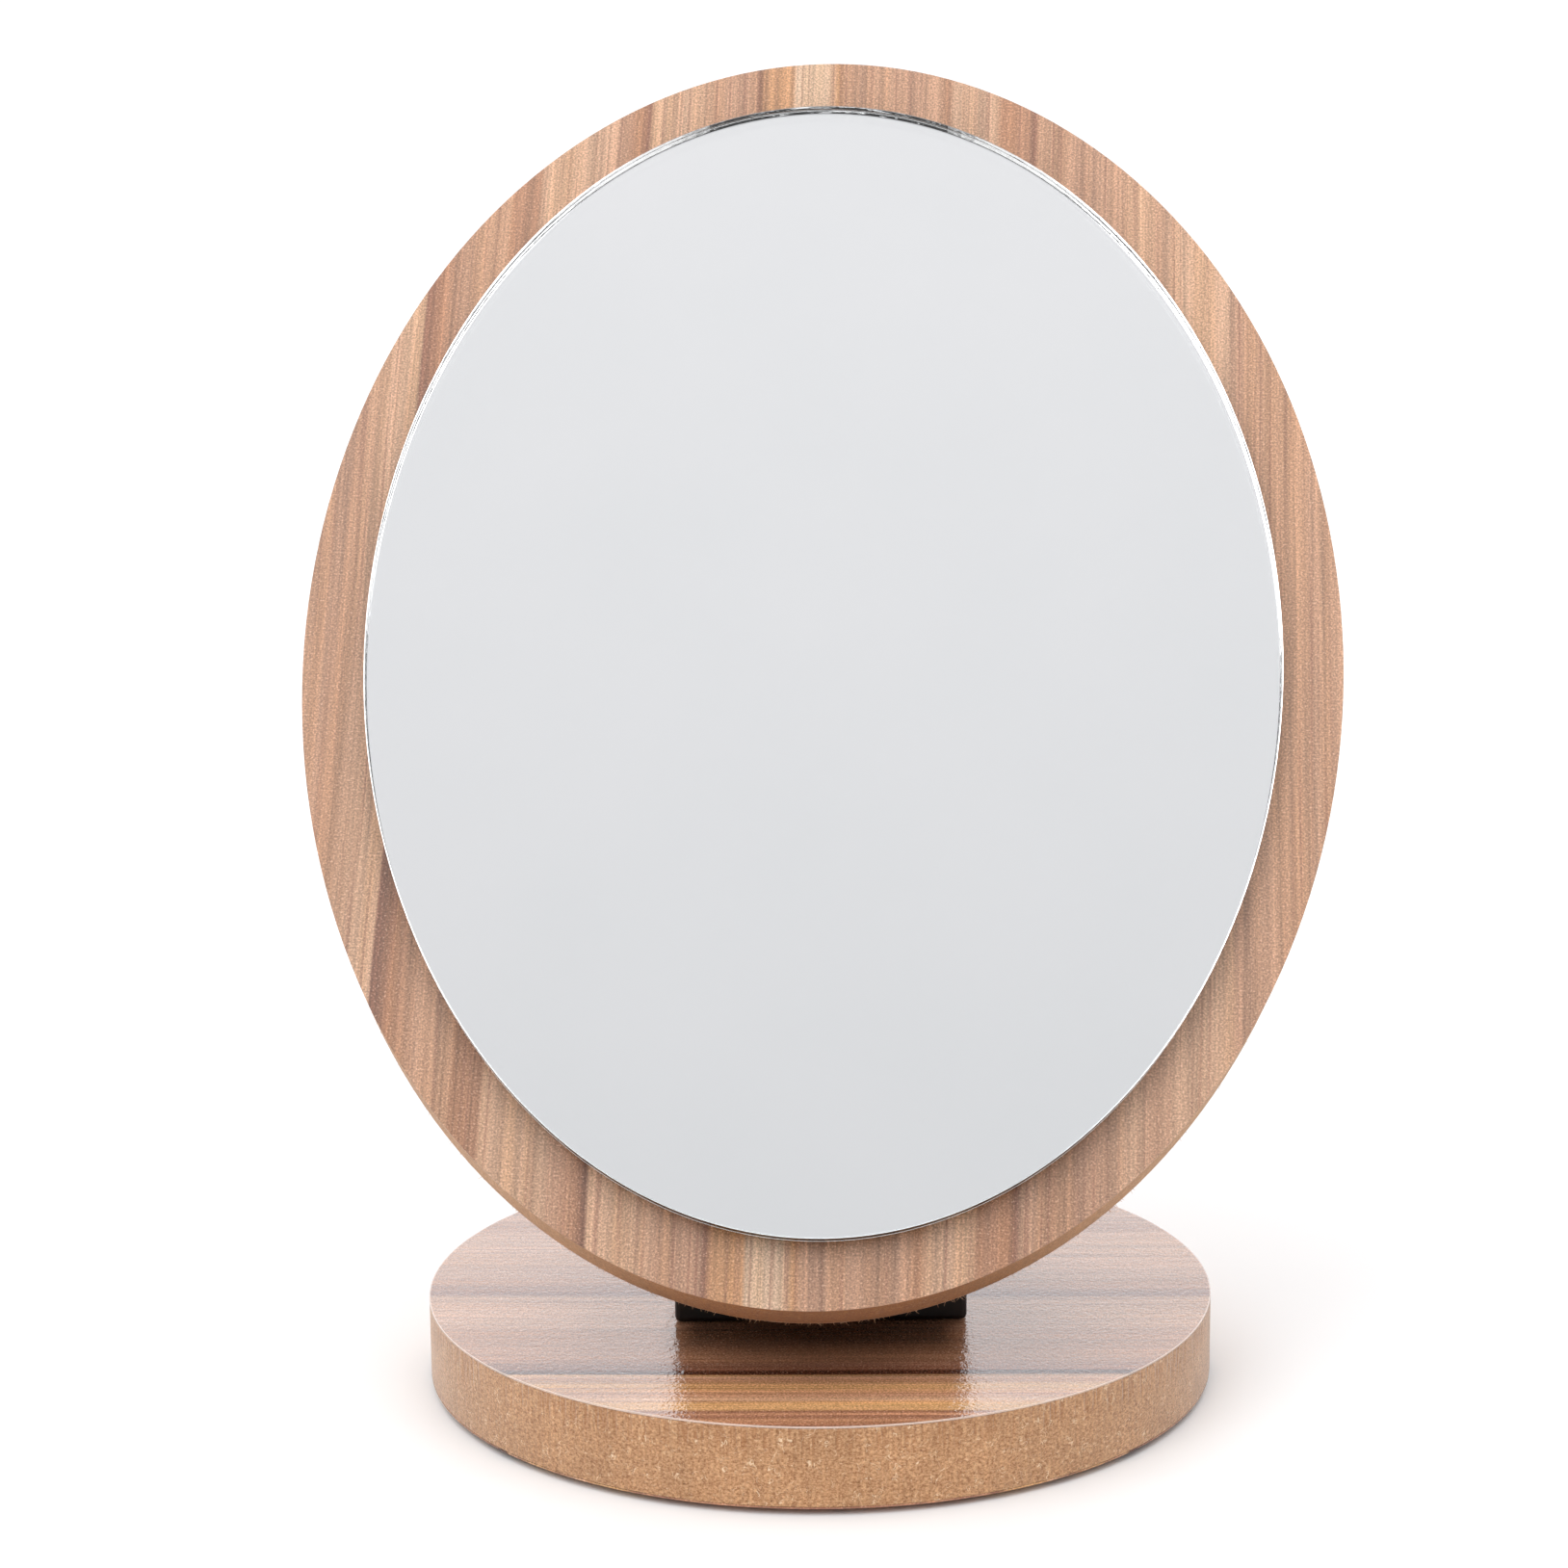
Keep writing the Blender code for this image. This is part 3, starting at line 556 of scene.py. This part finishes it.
def make_film(name, frame, bands, lift, fade, gloss, pebble, top_of_base=False):
    """Printed wood-grain film with a fine pebbled surface."""
    shader = Shader(name)
    spot = shader.place(*frame)
    across, along, depth = shader.split(spot)
    waver = shader.noise(shader.scaled(spot, WAVER), detail=1.0)
    across = shader.math("MULTIPLY_ADD", shader.math("SUBTRACT", waver, 0.5), WAVER_WIDTH, across)
    tint = shader.brighten(banded(shader, across, bands), lift)
    lightest, near, far, level = fade
    from_lightest = shader.math("ABSOLUTE", shader.math("SUBTRACT", along, lightest))
    tint = shader.brighten(tint, shader.spread(from_lightest, near, far, 1.0, level, smooth=True))
    # Painted shade under the panel's lower edge, in front of the bracket
    if top_of_base:
        tint = shader.brighten(tint, painted_under_panel_shade(shader, across, along))
    tint = streaked(shader, tint, shader.vector(across, along, depth))

    speckles = shader.noise(spot, SPECKLES, 1.0, 0.6)
    tint = shader.brighten(tint, shader.spread(speckles, *NOISE, *SPECKLE_LEVELS))
    # Painted glints: highlights of the pebbled surface, painted into its colour
    tint = shader.mix(shader.spread(speckles, *PAINTED_GLINTS_ABOVE, 0.0, PAINTED_GLINT_SHARE), tint, PAINTED_GLINT)
    if top_of_base:
        # Painted highlight along the base's cut film edge
        reach = shader.length(shader.scaled(spot, (1, 1, 0)))
        tint = shader.mix(shader.spread(reach, EDGE_HIGHLIGHT_START, EDGE_HIGHLIGHT_FULL, 0.0, EDGE_HIGHLIGHT_SHARE), tint, PAINTED_EDGE_HIGHLIGHT)
    shader.set("Base Color", tint)
    shader.set("Roughness", shader.spread(speckles, *NOISE, gloss, gloss + 0.1))
    shader.set("IOR", FILM_INDEX)
    pebbles = shader.noise(spot, PEBBLES, 1.0)
    height = shader.math("MULTIPLY_ADD", speckles, SPECKLE_HEIGHT, pebbles)
    shader.set("Normal", shader.bump(height, pebble * MM))
    return shader.material


def shaded_rim_bottom(shader, tint, spot):
    """The tint with painted shade along the panel's lowest edge."""
    sideways, up, _ = shader.split(spot)
    beside = shader.fall(shader.math("ABSOLUTE", sideways), RIM_SHADE_SIDES)
    rim_in_shade = shader.product(beside, shader.math("LESS_THAN", up, 0.0))
    return shader.mix(rim_in_shade, tint, shader.mix(1.0, tint, RIM_SHADE_TINT, "MULTIPLY"))


def with_fibres(shader, tint, spot, rawness):
    """The tint with loose curled fibres, pale flecks and dark specks."""
    # Curled fibres are the thin level lines of a noise, shown here and there
    curls = shader.noise(spot, CURLS, 1.0, distortion=CURL_TWIST)
    from_line = shader.math("ABSOLUTE", shader.math("SUBTRACT", curls, 0.5))
    on_line = shader.spread(from_line, *CURL_LINE, 1.0, 0.0)
    patches = shader.spread(shader.noise(spot, CURL_PATCHES), *CURLS_ABOVE, 0.0, CURL_SHARE * rawness)
    tint = shader.mix(shader.product(on_line, patches), tint, PALE_FIBRE)
    flecks = shader.noise(shader.scaled(spot, FLAT_FLECKS))
    tint = shader.mix(shader.spread(flecks, *FLECKS_ABOVE, 0.0, FLECK_SHARE * rawness), tint, PALE_FIBRE)
    specks = shader.spread(flecks, *SPECKS_BELOW, SPECK_SHARE * rawness, 0.0)
    return shader.mix(specks, tint, DARK_SPECK)


def deep_marks(shader, spot):
    """How deep the saw marks near the top of the base's edge are."""
    strokes = shader.noise(shader.scaled(spot, DEEP_MARKS), detail=1.0)
    up = shader.math("MULTIPLY_ADD", shader.noise(spot, RAGGED), RAGGED_DEPTH, shader.split(spot)[2])
    on_stroke = shader.spread(strokes, *DEEP_MARKS_BELOW, 1.0, 0.0)
    return shader.product(shader.spread(up, *MARKED), on_stroke)


def make_fibreboard(name, frame, tones, rawness, on_panel=False):
    """Fibreboard: matted fibres in the board's plane, with loose fibres, the saw's marks on the base's
    edge and painted shade along the panel's lowest edge.
    """
    shader = Shader(name)
    spot = shader.place(*frame)
    matted = shader.noise(shader.scaled(spot, MATTED), detail=3.0, roughness=0.8)
    marks = shader.noise(shader.scaled(spot, FINE_MARKS), detail=1.0)
    cloud = shader.noise(spot, CLOUDS, 3.0)
    dark, middle, light = zip(MATTED_TONES, tones)
    tint = shader.ramp(matted, (dark, light, middle))
    tint = shader.brighten(tint, shader.spread(marks, *FINE_MARK_RANGE, *FINE_MARK_LEVELS))
    tint = shader.brighten(tint, shader.spread(cloud, *NOISE, *CLOUD_LEVELS))
    height = shader.math("MULTIPLY_ADD", marks, FINE_MARK_HEIGHT, matted)

    # Painted shade along the panel's lowest edge, just above the base
    if on_panel:
        tint = shaded_rim_bottom(shader, tint, spot)
    else:
        deep = deep_marks(shader, spot)
        tint = shader.mix(shader.product(deep, DEEP_MARK_SHARE), tint, DEEP_MARK)
        height = shader.math("MULTIPLY_ADD", deep, DEEP_MARK_HEIGHT, height)

    shader.set("Base Color", with_fibres(shader, tint, spot, rawness))
    shader.set("Roughness", shader.spread(matted, *NOISE, 0.95, 0.75))
    shader.set("Sheen Weight", 0.5 * rawness)
    shader.set("Specular IOR Level", 0.2)
    shader.set("Normal", shader.bump(height, (0.02 + 0.1 * rawness) * MM, 0.9))
    return shader.material


def make_plastic(name, tint, rough):
    """Moulded plastic with a fine spark-eroded skin and slight handling marks."""
    shader = Shader(name)
    spot = shader.place()
    skin = shader.noise(spot, 5.0)
    cloud = shader.noise(spot, 0.15, 3.0)
    shader.set("Base Color", shader.brighten(tint, shader.spread(cloud, *NOISE, 0.8, 1.3)))
    shader.set("Roughness", shader.spread(cloud, *NOISE, rough - 0.06, rough + 0.08))
    shader.set("Normal", shader.bump(skin, 0.012 * MM, 0.6))
    return shader.material


def make_steel(name):
    """Zinc-plated steel with fine turning marks."""
    shader = Shader(name)
    grain = shader.noise(shader.place(), 3.5, 3.0)
    shader.set("Metallic", 1.0)
    shader.set("Base Color", shader.two_tone(grain, ZINC))
    shader.set("Roughness", shader.spread(grain, *NOISE, 0.25, 0.42))
    shader.set("Normal", shader.bump(grain, 0.01 * MM, 0.5))
    return shader.material


def make_glass(name, frame):
    """Clear float glass: a smooth face, and a cut edge that is slightly wavy with ground corners, with
    painted shade on the edge low down.
    """
    shader = Shader(name)
    spot = shader.place(*frame)
    _, up, depth = shader.split(spot)
    wall = GLASS_HALF - CORNER
    from_middle = shader.math("ABSOLUTE", shader.math("SUBTRACT", depth, GLASS_MIDDLE))
    on_corner = shader.product(
        shader.rise(from_middle, (wall, wall + CORNER / 2)),
        shader.math("LESS_THAN", from_middle, GLASS_HALF - 0.01),
    )
    on_wall = shader.math("LESS_THAN", from_middle, wall)
    # Painted shade: the walls and ground corners are tinted dark low down on the panel
    low = shader.fall(up, LOSSES)
    tint = shader.mix(shader.product(on_corner, low), CLEAR, CORNER_SHADE)
    shader.set("Base Color", shader.mix(shader.product(on_wall, low), tint, WALL_SHADE))
    grind = shader.spread(shader.noise(spot, 3.0), *NOISE, 0.05, 0.25)
    shader.set("Roughness", shader.product(on_corner, grind))
    shader.set("IOR", 1.5)
    shader.set("Transmission Weight", 1.0)
    waves = shader.noise(shader.scaled(spot, EDGE_WAVES), detail=3.0)
    on_edge = shader.fall(from_middle, (GLASS_HALF / 2, wall))
    shader.set("Normal", shader.bump(shader.product(waves, on_edge), EDGE_WAVE_HEIGHT * MM))
    return shader.material


def make_silver(name):
    shader = Shader(name)
    shader.set("Metallic", 1.0)
    shader.set("Base Color", shader.two_tone(shader.noise(shader.place(), 0.03), SILVER))
    shader.set("Roughness", 0.0)
    return shader.material


def make_soft(name, tones, scale, rough):
    """Rubber, nylon or foam: a fine mottled surface."""
    shader = Shader(name)
    grain = shader.noise(shader.place(), scale, 3.0, 0.6)
    shader.set("Base Color", shader.two_tone(grain, tones))
    shader.set("Roughness", shader.spread(grain, *NOISE, rough - 0.08, rough + 0.08))
    shader.set("Normal", shader.bump(grain, 0.03 * MM, 0.6))
    return shader.material


def make_floor():
    bpy.ops.mesh.primitive_plane_add(size=FLOOR_SIZE)
    floor = bpy.context.object
    floor.name = "floor"
    shader = Shader("pale_floor")
    shader.set("Base Color", shader.two_tone(shader.noise(shader.place(), 0.01), FLOOR))
    shader.set("Roughness", 0.8)
    floor.data.materials.append(shader.material)


class World(Nodes):
    """The studio's surround, made of soft-edged areas of light."""

    def __init__(self):
        self.world = bpy.data.worlds.new("studio")
        self.world.use_nodes = True
        super().__init__(self.world.node_tree)
        direction = self.node("ShaderNodeSeparateXYZ")
        self.feed(direction.inputs[0], self.node("ShaderNodeTexCoord").outputs["Generated"])
        x, y, self.up = direction.outputs
        # The level part of the direction; just over 1 keeps it above 0 straight up
        level = self.math("SQRT", self.math("SUBTRACT", 1.0001, self.product(self.up, self.up)))
        self.sideways = self.math("DIVIDE", x, level)
        self.backwards = self.math("DIVIDE", y, level)


def soft_box(world, side, level):
    """A soft box in front, on the left (-1) or on the right (1)."""
    sideways = world.product(world.sideways, float(side))
    return world.product(
        world.rise(sideways, BOX_INNER),
        world.fall(sideways, BOX_OUTER),
        world.rise(world.up, BOX_LOW),
        world.fall(world.up, BOX_HIGH),
        world.fall(world.backwards, BOX_BACK, level),
    )


def make_world():
    """A studio with a bright backdrop, a soft box on each side of the camera and a dim front."""
    world = World()
    behind = world.rise(world.backwards, BACKDROP_START)
    light = world.mix(behind, world.ramp(world.up, ROOM), world.ramp(world.up, BACKDROP))
    fill = world.product(
        world.rise(world.backwards, FILL_FRONT),
        world.fall(world.backwards, FILL_BACK),
        world.rise(world.up, FILL_LOW),
        world.fall(world.up, FILL_HIGH),
        world.fall(world.sideways, FILL_RIGHT, LEFT_FILL),
    )
    away = world.math("ABSOLUTE", world.sideways)
    strips = world.product(
        world.rise(away, STAND_INNER),
        world.fall(away, STAND_OUTER),
        world.rise(world.up, STAND_LOW),
        world.fall(world.up, STAND_HIGH),
        world.fall(world.backwards, BOX_BACK, BOX_STAND),
    )
    boxes = world.math("ADD", soft_box(world, -1, LEFT_BOX), soft_box(world, 1, RIGHT_BOX))
    added = world.math("ADD", world.math("ADD", fill, strips), boxes)
    background = world.tree.nodes["Background"]
    world.feed(background.inputs["Color"], world.mix(1.0, light, world.grey(added), "ADD"))

    # Seen directly, the surround is plain white
    plain = world.node("ShaderNodeBackground")
    plain.inputs["Color"].default_value = (1, 1, 1, 1)
    plain.inputs["Strength"].default_value = SEEN_WHITE
    chosen = world.node("ShaderNodeMixShader")
    world.feed(chosen.inputs[0], world.node("ShaderNodeLightPath").outputs["Is Camera Ray"])
    world.feed(chosen.inputs[1], background.outputs[0])
    world.feed(chosen.inputs[2], plain.outputs[0])
    world.feed(world.tree.nodes["World Output"].inputs["Surface"], chosen.outputs[0])
    bpy.context.scene.world = world.world


def make_camera():
    data = bpy.data.cameras.new("camera")
    data.lens = CAMERA_LENS
    data.sensor_width = SENSOR
    data.clip_start = NEAREST
    camera = bpy.data.objects.new("camera", data)
    camera.location = CAMERA_PLACE
    camera.rotation_euler = (math.radians(90) - CAMERA_DOWN, 0, 0)
    camera.rotation_euler.rotate_axis("Z", CAMERA_ROLL)
    bpy.context.scene.collection.objects.link(camera)
    bpy.context.scene.camera = camera


def add_fibre(curve, chance):
    """One frayed fibre, rooted in the lower back edge of the panel."""
    up = Vector((0, math.sin(TILT), math.cos(TILT)))
    front = Vector((0, -math.cos(TILT), math.sin(TILT)))
    right = Vector((1, 0, 0))
    half_width, half_height = PANEL_OVAL
    angle = math.radians(chance.triangular(*FIBRE_ANGLES))
    outward = Vector((math.cos(angle), math.sin(angle)))
    edge = Vector((half_width * outward.x, half_height * outward.y))
    edge.rotate(Matrix.Rotation(-PANEL_LEAN, 2))
    start = PIVOT + right * (PANEL_CENTRE.x + edge.x) + up * (PANEL_CENTRE.y + edge.y)
    start += front * (PANEL_BACK + chance.uniform(0.0, 0.5))
    length = chance.triangular(*FIBRE_LENGTHS)
    heading = right * (outward.x + chance.uniform(-0.9, 0.9)) + up * outward.y
    heading += front * chance.uniform(-0.7, 0.3)
    heading.normalize()
    curl = right * chance.uniform(-0.8, 0.8) + front * chance.uniform(-0.5, 0.5)
    spline = curve.splines.new("POLY")
    spline.points.add(FIBRE_STEPS)
    for step, point in enumerate(spline.points):
        reach = length * step / FIBRE_STEPS
        place = start + heading * (reach - FIBRE_ROOT) + curl * reach * reach / 2
        point.co = (*(place * MM), 1)
        point.radius = 1.2 - 0.7 * step / FIBRE_STEPS


def make_edge_fibres():
    """Frayed fibres along the lower back edge of the panel, where the saw came out."""
    chance = random.Random(FIBRE_SEED)
    curve = bpy.data.curves.new("panel_edge_fibres", "CURVE")
    curve.dimensions = "3D"
    curve.bevel_depth = FIBRE_RADIUS * MM
    curve.bevel_resolution = 1
    curve.use_fill_caps = True
    for _ in range(FIBRE_COUNT):
        add_fibre(curve, chance)
    fibres = bpy.data.objects.new("panel_edge_fibres", curve)
    bpy.context.scene.collection.objects.link(fibres)
    curve.materials.append(make_soft("loose_fibre", LOOSE_FIBRE, 1.5, 0.9))
    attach(fibres, "panel")


def round_film_edge(piece):
    """A small round on a film's cut edge, which catches the light."""
    weld = piece.modifiers.new("weld", "WELD")
    weld.merge_threshold = SAME_POINT
    bevel = piece.modifiers.new("edge", "BEVEL")
    bevel.width = FILM_ROUND * MM
    bevel.segments = 2
    bevel.limit_method = "ANGLE"
    bevel.angle_limit = SHARP_EDGE


def dress(pieces, names, material):
    for name in names:
        pieces[name].material_slots[0].material = material


def dress_boards(pieces):
    dress(pieces, ["panel_front_film"], make_film("panel_front_print", **PANEL_PRINT))
    dress(pieces, ["panel_back_film"], make_film("panel_back_print", **PANEL_PRINT))
    dress(pieces, ["base_top_film"], make_film("base_top_print", **BASE_PRINT, top_of_base=True))
    dress(pieces, ["base_bottom_film"], make_film("base_bottom_print", **BASE_PRINT))
    dress(pieces, ["base_board"], make_fibreboard("base_fibreboard", BASE_FRAME, SAWN, 1.0))
    panel_board = make_fibreboard("panel_fibreboard", PANEL_FRAME, SANDED, 0.3, on_panel=True)
    dress(pieces, ["panel_board"], panel_board)


def dress_fittings(pieces):
    dress(pieces, ["stand_bracket", "hinge_leaf"], make_plastic("black_moulding", BLACK, 0.42))
    screws = [name for name in pieces if "screw" in name]
    dress(pieces, screws + ["hinge_bolt", "hinge_nut"], make_steel("zinc_steel"))
    washers = ["friction_washer_left", "friction_washer_right"]
    dress(pieces, washers, make_soft("white_nylon", NYLON, 2.0, 0.4))
    pads = [name for name in pieces if name.startswith("foot_pad")]
    dress(pieces, pads, make_soft("grey_rubber", RUBBER, 1.6, 0.75))
    tapes = [name for name in pieces if name.startswith("mirror_tape")]
    dress(pieces, tapes, make_soft("foam_tape", FOAM, 1.2, 0.85))
    dress(pieces, ["mirror_glass"], make_glass("float_glass", PANEL_FRAME))
    dress(pieces, ["mirror_silvering"], make_silver("silver_coat"))


def main():
    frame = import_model()
    bpy.context.scene.view_settings.view_transform = "Standard"
    pieces = frame["nodes"]
    dress_boards(pieces)
    dress_fittings(pieces)
    make_edge_fibres()
    round_film_edge(pieces["base_top_film"])

    make_floor()
    make_world()
    make_camera()


main()
